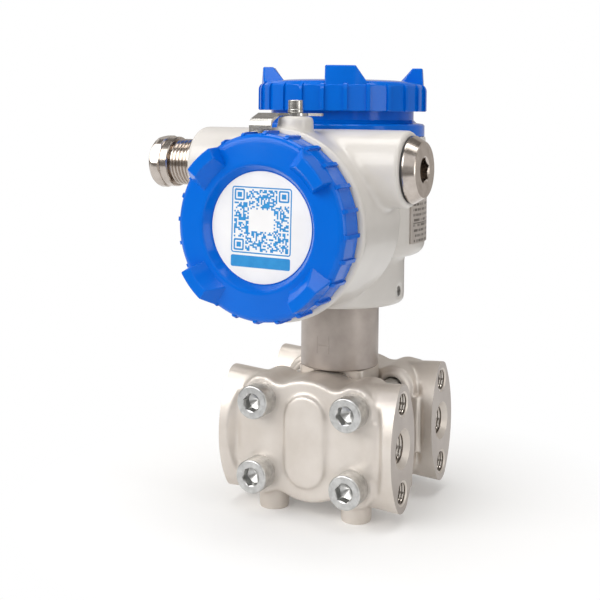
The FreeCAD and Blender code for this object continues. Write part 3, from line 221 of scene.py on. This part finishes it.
def grained_finish(name, dark, light, metallic, rough, grain_mm, patch_mm, depth_mm, coat=0.0, specular=0.5):
    """A Principled finish whose colour drifts in patches and whose skin has a fine grain."""
    finish = bpy.data.materials.new(name)
    finish.use_nodes = True
    tree = finish.node_tree
    shader = tree.nodes["Principled BSDF"]
    shader.inputs["Metallic"].default_value = metallic
    shader.inputs["Specular IOR Level"].default_value = specular
    shader.inputs["Coat Weight"].default_value = coat
    shader.inputs["Coat Roughness"].default_value = 0.06
    skin = tree.nodes.new("ShaderNodeGroup")
    skin.node_tree = blasted_grain
    skin.inputs["Grain Size mm"].default_value = grain_mm
    skin.inputs["Patch Size mm"].default_value = patch_mm
    colour = tree.nodes.new("ShaderNodeValToRGB")
    colour.name = "colour"
    colour.color_ramp.elements[0].position = 0.35
    colour.color_ramp.elements[0].color = (*dark, 1.0)
    colour.color_ramp.elements[1].position = 0.65
    colour.color_ramp.elements[1].color = (*light, 1.0)
    sheen = tree.nodes.new("ShaderNodeMapRange")
    sheen.inputs["To Min"].default_value = rough * (1.0 - sheen_spread)
    sheen.inputs["To Max"].default_value = rough * (1.0 + sheen_spread)
    bump = tree.nodes.new("ShaderNodeBump")
    bump.inputs["Strength"].default_value = 0.6
    bump.inputs["Distance"].default_value = depth_mm * 0.001
    tree.links.new(skin.outputs["Patches"], colour.inputs["Fac"])
    tree.links.new(colour.outputs["Color"], shader.inputs["Base Color"])
    tree.links.new(skin.outputs["Patches"], sheen.inputs["Value"])
    tree.links.new(sheen.outputs[0], shader.inputs["Roughness"])
    tree.links.new(skin.outputs["Grain"], bump.inputs["Height"])
    tree.links.new(bump.outputs["Normal"], shader.inputs["Normal"])
    return finish


def dress(finish, *names):
    """Give CAD pieces their finish."""
    for name in names:
        nodes[name].data.materials.clear()
        nodes[name].data.materials.append(finish)


cast_steel = grained_finish(
    "cast_steel", (0.66, 0.605, 0.55), (0.74, 0.69, 0.64), 0.65, 0.45, 0.35, 16.0, 0.02)
dress(cast_steel, "sensor_body")
diaphragm_steel = grained_finish(
    "diaphragm_steel", (0.55, 0.53, 0.50), (0.62, 0.60, 0.57), 1.0, 0.22, 0.2, 6.0, 0.002)
dress(diaphragm_steel, "diaphragm_high", "diaphragm_low")
gasket_white = grained_finish(
    "gasket_white", (0.72, 0.71, 0.68), (0.80, 0.79, 0.76), 0.0, 0.6, 0.3, 4.0, 0.01)
dress(gasket_white, "cover_seal_high", "cover_seal_low")

# ---- Process covers ------------------------------------------------------------
# Two investment castings in stainless steel, shot-blasted, with soft fillets
# everywhere but on the machined ends, ports and flange bolt holes.
cover_voxel = 0.0007
fillet_passes = 8
fill_rate = 0.6
edge_wear = 0.35
polish_passes = 3
polish_rate = 0.5
weld_gap = 0.000002
machined_x = 0.045
stretch = 0.003
flush = 0.00003
crease_angle = math.radians(38.0)
tool_crease_angle = math.radians(35.0)


def settled_casting(name, source, voxel, passes, stretched):
    """A cast copy of a CAD piece: hollows between its forms are filled to soft fillets."""
    raw = source.data.copy()
    if "custom_normal" in raw.attributes:
        raw.attributes.remove(raw.attributes["custom_normal"])
    shell = bmesh.new()
    shell.from_mesh(raw)
    bmesh.ops.remove_doubles(shell, verts=shell.verts, dist=weld_gap)
    for vertex in shell.verts:
        vertex.co += stretched(vertex.co)
    shell.to_mesh(raw)
    shell.free()
    piece = bpy.data.objects.new(name, raw)
    bpy.context.scene.collection.objects.link(piece)
    remesh = piece.modifiers.new("cast_skin", "REMESH")
    remesh.mode = "VOXEL"
    remesh.voxel_size = voxel
    ready = bpy.context.evaluated_depsgraph_get()
    skin = bpy.data.meshes.new_from_object(piece.evaluated_get(ready))
    piece.modifiers.clear()
    piece.data = skin
    count = len(skin.vertices)
    points = np.empty(count * 3)
    skin.vertices.foreach_get("co", points)
    points = points.reshape(-1, 3)
    normals = np.empty(count * 3)
    skin.vertices.foreach_get("normal", normals)
    normals = normals.reshape(-1, 3)
    pairs = np.empty(len(skin.edges) * 2, dtype=np.int64)
    skin.edges.foreach_get("vertices", pairs)
    first, second = pairs.reshape(-1, 2).T
    share = np.bincount(first, minlength=count) + np.bincount(second, minlength=count)

    def relaxed(places, rounds, rate):
        """Points drawn towards the mean of their neighbours."""
        for _ in range(rounds):
            total = np.empty_like(places)
            for axis in range(3):
                total[:, axis] = np.bincount(first, weights=places[second, axis], minlength=count)
                total[:, axis] += np.bincount(second, weights=places[first, axis], minlength=count)
            places = (1.0 - rate) * places + rate * total / share[:, None]
        return places

    moved = ((relaxed(points, passes, fill_rate) - points) * normals).sum(axis=1)
    kept = np.where(moved > 0.0, moved, edge_wear * moved)
    points = relaxed(points + normals * kept[:, None], polish_passes, polish_rate)
    skin.vertices.foreach_set("co", points.ravel())
    skin.update()
    return piece


def turned(name, profile, centre, direction, steps=56, ring=False):
    """A turned piece: profile points are (radius, distance along direction)."""
    mesh = bmesh.new()
    turn = Vector(direction).to_track_quat("Z", "Y").to_matrix()
    rows = []
    for radius, along in profile:
        if radius < 1e-9:
            rows.append([mesh.verts.new(Vector(centre) + turn @ Vector((0.0, 0.0, along)))])
            continue
        row = []
        for step in range(steps):
            angle = 2.0 * math.pi * step / steps
            offset = Vector((radius * math.cos(angle), radius * math.sin(angle), along))
            row.append(mesh.verts.new(Vector(centre) + turn @ offset))
        rows.append(row)
    joined = list(zip(rows, rows[1:] + rows[:1])) if ring else list(zip(rows, rows[1:]))
    for lower, upper in joined:
        for step in range(steps):
            after = (step + 1) % steps
            if len(lower) == 1:
                mesh.faces.new((lower[0], upper[after], upper[step]))
            elif len(upper) == 1:
                mesh.faces.new((lower[step], lower[after], upper[0]))
            else:
                mesh.faces.new((lower[step], lower[after], upper[after], upper[step]))
    bmesh.ops.recalc_face_normals(mesh, faces=mesh.faces)
    data = bpy.data.meshes.new(name)
    mesh.to_mesh(data)
    mesh.free()
    piece = bpy.data.objects.new(name, data)
    bpy.context.scene.collection.objects.link(piece)
    return piece


def joined_piece(name, parts):
    """One object from several, with crisp edges kept crisp."""
    whole = bmesh.new()
    for part in parts:
        whole.from_mesh(part.data)
        bpy.data.objects.remove(part)
    data = bpy.data.meshes.new(name)
    whole.to_mesh(data)
    whole.free()
    data.polygons.foreach_set("use_smooth", [True] * len(data.polygons))
    data.set_sharp_from_angle(angle=tool_crease_angle)
    piece = bpy.data.objects.new(name, data)
    bpy.context.scene.collection.objects.link(piece)
    return piece


def machined(piece, cutters):
    """Cut the machined faces and holes into a casting."""
    tool = joined_piece(piece.name + "_tool", cutters)
    cutting = piece.modifiers.new("machining", "BOOLEAN")
    cutting.operation = "DIFFERENCE"
    cutting.solver = "EXACT"
    cutting.object = tool
    ready = bpy.context.evaluated_depsgraph_get()
    result = bpy.data.meshes.new_from_object(piece.evaluated_get(ready))
    piece.modifiers.clear()
    piece.data = result
    bpy.data.objects.remove(tool)
    result.materials.clear()
    result.polygons.foreach_set("use_smooth", [True] * len(result.polygons))
    result.set_sharp_from_angle(angle=crease_angle)


def past_machined_faces(point):
    """The ends and feet are cast long and cut back to size."""
    shift = Vector((0.0, 0.0, 0.0))
    if abs(point.x) > machined_x - flush:
        shift.x = math.copysign(stretch, point.x)
    if point.z < flush:
        shift.z = -stretch
    return shift


# The machined end faces get a satin steel whose darker colour is partly their real finish and partly painted
# shade of the ends that face away from the key light.
faced_steel_and_painted_shade = grained_finish(
    "faced_steel_and_painted_shade", (0.39, 0.345, 0.315), (0.45, 0.405, 0.37), 0.7, 0.36, 0.25, 12.0, 0.006)
port_height = 0.0365
port_spread = 0.027
flange_pitch = 0.0413
port_mouth = 0.0093
port_mouth_depth = 0.0026
port_radius = 0.0072
port_depth = 0.0165
hole_radius = 0.00545
hole_chamfer = 0.0006
hole_depth = 0.0145
drill_point = 0.002
overrun = 0.001
sleeve_wall = 0.0001
hole_crest = 0.00495
hole_root = 0.00535
hole_pitch = 0.00127
hole_thread_end = 0.0130
port_crest = 0.0067
port_pitch = 0.00141
port_tooth = 0.00042
port_taper = 0.00006
port_thread_end = 0.0140
foot_level = 0.00001
thread_parts = []
for side, node in ((-1, "high_side_cover"), (1, "low_side_cover")):
    casting = settled_casting(node + "_casting", nodes[node], cover_voxel, fillet_passes, past_machined_faces)
    cutters = []
    for end in (-1, 1):
        face = Vector((end * machined_x, side * port_spread, port_height))
        inward = (-end, 0, 0)
        port_profile = [
            (0.0, -overrun), (port_mouth, -overrun), (port_mouth, 0.0), (port_radius, port_mouth_depth),
            (port_radius, port_depth), (0.0, port_depth + drill_point),
        ]
        cutters.append(turned("port_cut", port_profile, face, inward))
        for level in (-1, 1):
            hole = face + Vector((0.0, 0.0, level * flange_pitch / 2))
            hole_profile = [
                (0.0, -overrun), (hole_radius + hole_chamfer, -overrun), (hole_radius + hole_chamfer, 0.0),
                (hole_radius, hole_chamfer), (hole_radius, hole_depth), (0.0, hole_depth + drill_point),
            ]
            cutters.append(turned("hole_cut", hole_profile, hole, inward, steps=40))
            teeth = [(hole_radius + sleeve_wall, hole_chamfer), (hole_crest, hole_chamfer)]
            for tooth in range(9):
                start = hole_chamfer + 0.0002 + tooth * hole_pitch
                teeth += [(hole_crest, start), (hole_root, start + 0.0005), (hole_crest, start + 0.0011)]
            teeth += [(hole_crest, hole_thread_end), (hole_radius + sleeve_wall, hole_thread_end)]
            thread_parts.append(turned("flange_thread", teeth, hole, inward, steps=40, ring=True))
    port_face = Vector((machined_x, side * port_spread, port_height))
    taper = [(port_radius + sleeve_wall, port_mouth_depth), (port_crest, port_mouth_depth)]
    for tooth in range(7):
        start = port_mouth_depth + 0.0002 + tooth * port_pitch
        crest = port_crest - tooth * port_taper
        taper += [(crest, start), (crest + port_tooth, start + 0.0006), (crest, start + 0.0012)]
    taper += [(0.0062, port_thread_end), (port_radius + sleeve_wall, port_thread_end)]
    thread_parts.append(turned("port_thread", taper, port_face, (-1, 0, 0), ring=True))
    machined(casting, cutters)
    trim = bmesh.new()
    trim.from_mesh(casting.data)
    for place, outward in (
        ((machined_x, 0, 0), (1, 0, 0)),
        ((-machined_x, 0, 0), (-1, 0, 0)),
        ((0, 0, foot_level), (0, 0, -1)),
    ):
        parts = list(trim.verts) + list(trim.edges) + list(trim.faces)
        cut = bmesh.ops.bisect_plane(trim, geom=parts, plane_co=place, plane_no=outward, clear_outer=True)
        rim = [item for item in cut["geom_cut"] if isinstance(item, bmesh.types.BMEdge)]
        bmesh.ops.triangle_fill(trim, edges=rim, use_beauty=True, normal=outward)
    trim.to_mesh(casting.data)
    trim.free()
    casting.data.polygons.foreach_set("use_smooth", [True] * len(casting.data.polygons))
    casting.data.set_sharp_from_angle(angle=crease_angle)
    casting.data.materials.append(cast_steel)
    casting.data.materials.append(faced_steel_and_painted_shade)
    # End faces take the darker steel: machined finish with painted shade.
    for face in casting.data.polygons:
        if abs(face.center.x) > machined_x - 0.00005 and abs(face.normal.x) > 0.9:
            face.material_index = 1
    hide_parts(node)
    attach(casting, "pressure_cell")

cut_steel = grained_finish("cut_steel", (0.46, 0.42, 0.38), (0.56, 0.52, 0.48), 1.0, 0.14, 0.3, 5.0, 0.003)
threads = joined_piece("process_threads", thread_parts)
threads.data.materials.append(cut_steel)
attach(threads, "pressure_cell")

# ---- Cover bolts, nuts and drain plugs -----------------------------------------
# M10 socket head screws and hexagon nuts in bright stainless steel, turned and
# rolled, drawn tight round the capsule; flush plugs close the left-hand ports.
bolt_bright = grained_finish("bolt_bright", (0.50, 0.50, 0.49), (0.66, 0.66, 0.65), 1.0, 0.30, 0.5, 2.2, 0.02)
dress(bolt_bright, "cover_bolts", "cover_nuts")
dress(cut_steel, "drain_plug_high", "drain_plug_low")

# ---- Neck tube -----------------------------------------------------------------
# A turned stainless tube welded on the capsule, marked on the high and low
# sides, with a spigot and a rubber ring that carry the housing.
neck_steel = grained_finish("neck_steel", (0.39, 0.34, 0.31), (0.46, 0.41, 0.375), 0.5, 0.38, 0.5, 9.0, 0.012)
dress(neck_steel, "neck_tube")
ring_rubber = grained_finish(
    "ring_rubber", (0.012, 0.012, 0.012), (0.025, 0.025, 0.025), 0.0, 0.55, 0.2, 3.0, 0.01)
dress(ring_rubber, "neck_o_ring")

# ---- Housing -------------------------------------------------------------------
# A pressure die casting in aluminium with two compartments and two conduit
# bosses, powder-coated in warm light grey, held to the neck by a set screw.
housing_voxel = 0.0009
housing_passes = 14
kept_share = 0.45


def as_cast(point):
    """Nothing on the housing is cast long."""
    return Vector((0.0, 0.0, 0.0))


housing_casting = settled_casting("housing_casting", nodes["housing"], housing_voxel, housing_passes, as_cast)
thinning = housing_casting.modifiers.new("thinning", "DECIMATE")
thinning.ratio = kept_share
thinned = bpy.data.meshes.new_from_object(
    housing_casting.evaluated_get(bpy.context.evaluated_depsgraph_get()))
housing_casting.modifiers.clear()
housing_casting.data = thinned
thinned.materials.clear()
thinned.polygons.foreach_set("use_smooth", [True] * len(thinned.polygons))
grey_coat = grained_finish(
    "grey_coat", (0.60, 0.575, 0.545), (0.65, 0.625, 0.595), 0.0, 0.34, 1.1, 30.0, 0.012, coat=0.25)
thinned.materials.append(grey_coat)
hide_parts("housing")
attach(housing_casting, "housing")
small_steel = grained_finish(
    "small_steel", (0.50, 0.49, 0.47), (0.62, 0.61, 0.59), 1.0, 0.24, 0.4, 2.5, 0.006)
dress(small_steel, "set_screw")

# ---- Electronics module and terminal block ---------------------------------------
# Moulded black cases with brass and steel screws, pushed into the two
# compartments and screwed down.
case_black = grained_finish(
    "case_black", (0.018, 0.018, 0.02), (0.03, 0.03, 0.033), 0.0, 0.45, 0.4, 8.0, 0.01)
dress(case_black, "electronics_module", "terminal_block")
dress(small_steel, "module_screws")
terminal_brass = grained_finish(
    "terminal_brass", (0.55, 0.38, 0.14), (0.66, 0.48, 0.20), 1.0, 0.25, 0.4, 2.0, 0.005)
dress(terminal_brass, "terminal_screws")

# ---- Collar and screwed covers ---------------------------------------------------
# Aluminium castings in glossy blue enamel: a collar on the upper compartment and
# two screwed covers with ribs and grip lugs, each on a rubber ring.
blue_enamel = grained_finish(
    "blue_enamel", (0.0, 0.122, 0.60), (0.0, 0.132, 0.63), 0.0, 0.13, 1.6, 25.0, 0.004, specular=0.2)
dress(blue_enamel, "terminal_collar", "front_cover", "top_cover")
dress(ring_rubber, "front_cover_seal", "top_cover_seal")

# ---- Label -----------------------------------------------------------------------
# A round white film stuck in the front cover's recess, printed in light blue with
# a frame, a made-up field of small squares round a blank middle, and a plain bar.
label_low, label_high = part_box("front_label")
label_middle_x = (label_low.x + label_high.x) / 2
label_middle_z = (label_low.z + label_high.z) / 2
label_front = label_low.y
print_height = 0.00004
film_white = grained_finish("film_white", (0.80, 0.80, 0.81), (0.84, 0.84, 0.85), 0.0, 0.32, 0.8, 12.0, 0.002)
dress(film_white, "front_label")
print_blue = grained_finish(
    "print_blue", (0.012, 0.24, 0.58), (0.018, 0.27, 0.62), 0.0, 0.35, 0.4, 3.0, 0.002)
ink = bmesh.new()


def round_corners(left, right, low, high, radius):
    """The outline of a rectangle with rounded corners, from its upper right corner round."""
    outline = []
    for middle_x, middle_z, start in (
        (right - radius, high - radius, 0), (left + radius, high - radius, 90),
        (left + radius, low + radius, 180), (right - radius, low + radius, 270),
    ):
        for step in range(5):
            angle = math.radians(start + 22.5 * step)
            outline.append((middle_x + radius * math.cos(angle), middle_z + radius * math.sin(angle)))
    return outline


def lay_ink(outer, inner=None):
    """One printed field, as a thin closed film on the label."""
    rings = [outer] if inner is None else [outer, inner]
    layers = []
    for depth in (0.0, -print_height):
        layers.append([[ink.verts.new((x, label_front + depth, z)) for x, z in ring] for ring in rings])
    count = len(outer)
    for ring in range(len(rings)):
        for step in range(count):
            after = (step + 1) % count
            low_row = layers[0][ring]
            high_row = layers[1][ring]
            ink.faces.new((low_row[step], low_row[after], high_row[after], high_row[step]))
    for layer in layers:
        if inner is None:
            ink.faces.new(layer[0])
            continue
        for step in range(count):
            after = (step + 1) % count
            ink.faces.new((layer[0][step], layer[0][after], layer[1][after], layer[1][step]))


frame_half = 0.01475
frame_low = -0.01165
frame_high = 0.01755
frame_line = 0.00055
frame_corner = 0.0012
bar_low = -0.01775
bar_high = -0.01265
lay_ink(
    round_corners(-frame_half, frame_half, frame_low, frame_high, frame_corner),
    round_corners(
        -frame_half + frame_line, frame_half - frame_line,
        frame_low + frame_line, frame_high - frame_line, 0.0007))
lay_ink(round_corners(-frame_half, frame_half - 0.0002, bar_low, bar_high, 0.0008))

squares = 37
square = 0.00073
field_middle = 0.00295
field_left = -squares * square / 2
field_top = field_middle + squares * square / 2
corner = 7
blank_half = 0.0062
blank_height_share = 0.72
filled_share = 0.5
scatter = random.Random(20)
for corner_x, corner_z in (
    (field_left, field_top), (field_left + (squares - corner) * square, field_top),
    (field_left, field_top - (squares - corner) * square),
):
    right = corner_x + corner * square
    low = corner_z - corner * square
    lay_ink(
        round_corners(corner_x, right, low, corner_z, 0.0007),
        round_corners(corner_x + square, right - square, low + square, corner_z - square, 0.0003))
    lay_ink(round_corners(
        corner_x + 2 * square, right - 2 * square, low + 2 * square, corner_z - 2 * square, 0.0002))
for row in range(squares):
    run_start = None
    for column in range(squares + 1):
        inside = column < squares
        near_left = column <= corner
        near_right = column >= squares - corner - 1
        near_top = row <= corner
        near_bottom = row >= squares - corner - 1
        in_corner = (near_top and (near_left or near_right)) or (near_bottom and near_left)
        x = field_left + (column + 0.5) * square
        z = field_top - (row + 0.5) * square
        in_blank = abs(x) < blank_half and abs(z - field_middle) < blank_half * blank_height_share
        filled = inside and not in_corner and not in_blank and scatter.random() < filled_share
        if filled and run_start is None:
            run_start = column
        if run_start is not None and not filled:
            left = field_left + run_start * square
            right = field_left + column * square
            high = field_top - row * square
            lay_ink([(left, high - square), (right, high - square), (right, high), (left, high)])
            run_start = None
bmesh.ops.recalc_face_normals(ink, faces=ink.faces)
print_slant = math.radians(0.7)
print_tilt = Matrix.Rotation(print_slant, 4, "Y")
print_place = Matrix.Translation((label_middle_x, 0.0, label_middle_z))
bmesh.ops.transform(ink, matrix=print_place @ print_tilt, verts=ink.verts)
print_mesh = bpy.data.meshes.new("label_print")
ink.to_mesh(print_mesh)
ink.free()
print_mesh.materials.append(print_blue)
label_print = bpy.data.objects.new("label_print", print_mesh)
bpy.context.scene.collection.objects.link(label_print)
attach(label_print, "front_cover")

# ---- Cover lock ------------------------------------------------------------------
# A pressed stainless plate whose bent tab stops the front cover from turning,
# under a spring washer and a socket screw on the cast boss.
dress(small_steel, "lock_plate", "lock_washer", "lock_screw")

# ---- Cable gland and stopping plug -----------------------------------------------
# Nickel-plated brass: a gland with a dome nut and rubber seal in the left boss,
# and a stopping plug with a hexagon socket on a gasket in the right one.
bright_nickel = grained_finish(
    "bright_nickel", (0.50, 0.445, 0.40), (0.60, 0.54, 0.49), 1.0, 0.20, 0.6, 5.0, 0.003)
dress(bright_nickel, "gland_body", "gland_nut", "conduit_plug")
dress(ring_rubber, "gland_seal", "plug_gasket")

# ---- Nameplate -------------------------------------------------------------------
# A curved stainless plate on two drive screws, etched with a dark rule and rows
# of plain bars in place of lettering.
plate_metal = grained_finish(
    "plate_metal", (0.50, 0.455, 0.42), (0.58, 0.535, 0.50), 0.5, 0.34, 0.5, 6.0, 0.005)
plate_tree = plate_metal.node_tree
plate_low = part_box("nameplate")[0]
plate_coords = plate_tree.nodes.new("ShaderNodeTexCoord")
plate_parts = plate_tree.nodes.new("ShaderNodeSeparateXYZ")
plate_tree.links.new(plate_coords.outputs["Object"], plate_parts.inputs[0])


def plate_math(operation, first, second):
    """One step of the nameplate's etching pattern; each input is a socket or a number."""
    step = plate_tree.nodes.new("ShaderNodeMath")
    step.operation = operation
    for index, value in enumerate((first, second)):
        if isinstance(value, (int, float)):
            step.inputs[index].default_value = value
        else:
            plate_tree.links.new(value, step.inputs[index])
    return step.outputs[0]


row_pitch = 0.0025
bar_half_share = 0.24
bars_per_radian = 80.0
gap_share = 0.38
first_angle = -0.20
last_angle = 0.85
rule_level = 0.0098
rule_half = 0.00025
plate_angle = plate_math("ARCTAN2", plate_parts.outputs["Y"], plate_parts.outputs["X"])
plate_level = plate_math("SUBTRACT", plate_parts.outputs["Z"], plate_low.z)
row_place = plate_math("DIVIDE", plate_level, row_pitch)
row_number = plate_math("FLOOR", row_place, 0.0)
row_inside = plate_math("SUBTRACT", row_place, row_number)
row_middle = plate_math("ABSOLUTE", plate_math("SUBTRACT", row_inside, 0.5), 0.0)
row_bar = plate_math("LESS_THAN", row_middle, bar_half_share)
bar_spot = plate_tree.nodes.new("ShaderNodeCombineXYZ")
bar_number = plate_math("FLOOR", plate_math("MULTIPLY", plate_angle, bars_per_radian), 0.0)
plate_tree.links.new(bar_number, bar_spot.inputs[0])
plate_tree.links.new(row_number, bar_spot.inputs[1])
bar_choice = plate_tree.nodes.new("ShaderNodeTexWhiteNoise")
bar_choice.noise_dimensions = "2D"
plate_tree.links.new(bar_spot.outputs[0], bar_choice.inputs["Vector"])
bar_here = plate_math("GREATER_THAN", bar_choice.outputs["Value"], gap_share)
past_first = plate_math("GREATER_THAN", plate_angle, first_angle)
before_last = plate_math("LESS_THAN", plate_angle, last_angle)
clear_edge = plate_math("MULTIPLY", past_first, before_last)
rule_height = plate_math("ABSOLUTE", plate_math("SUBTRACT", plate_level, rule_level), 0.0)
plate_rule = plate_math("LESS_THAN", rule_height, rule_half)
bars = plate_math("MULTIPLY", plate_math("MULTIPLY", row_bar, bar_here), clear_edge)
etched = plate_math("MAXIMUM", bars, plate_math("MULTIPLY", plate_rule, clear_edge))
etch_colour = plate_tree.nodes.new("ShaderNodeMix")
etch_colour.data_type = "RGBA"
plate_tree.links.new(etched, etch_colour.inputs["Factor"])
plate_tree.links.new(plate_tree.nodes["colour"].outputs["Color"], etch_colour.inputs[6])
etch_colour.inputs[7].default_value = (0.17, 0.15, 0.135, 1.0)
plate_tree.links.new(etch_colour.outputs[2], plate_tree.nodes["Principled BSDF"].inputs["Base Color"])
dress(plate_metal, "nameplate")
dress(small_steel, "nameplate_screws")
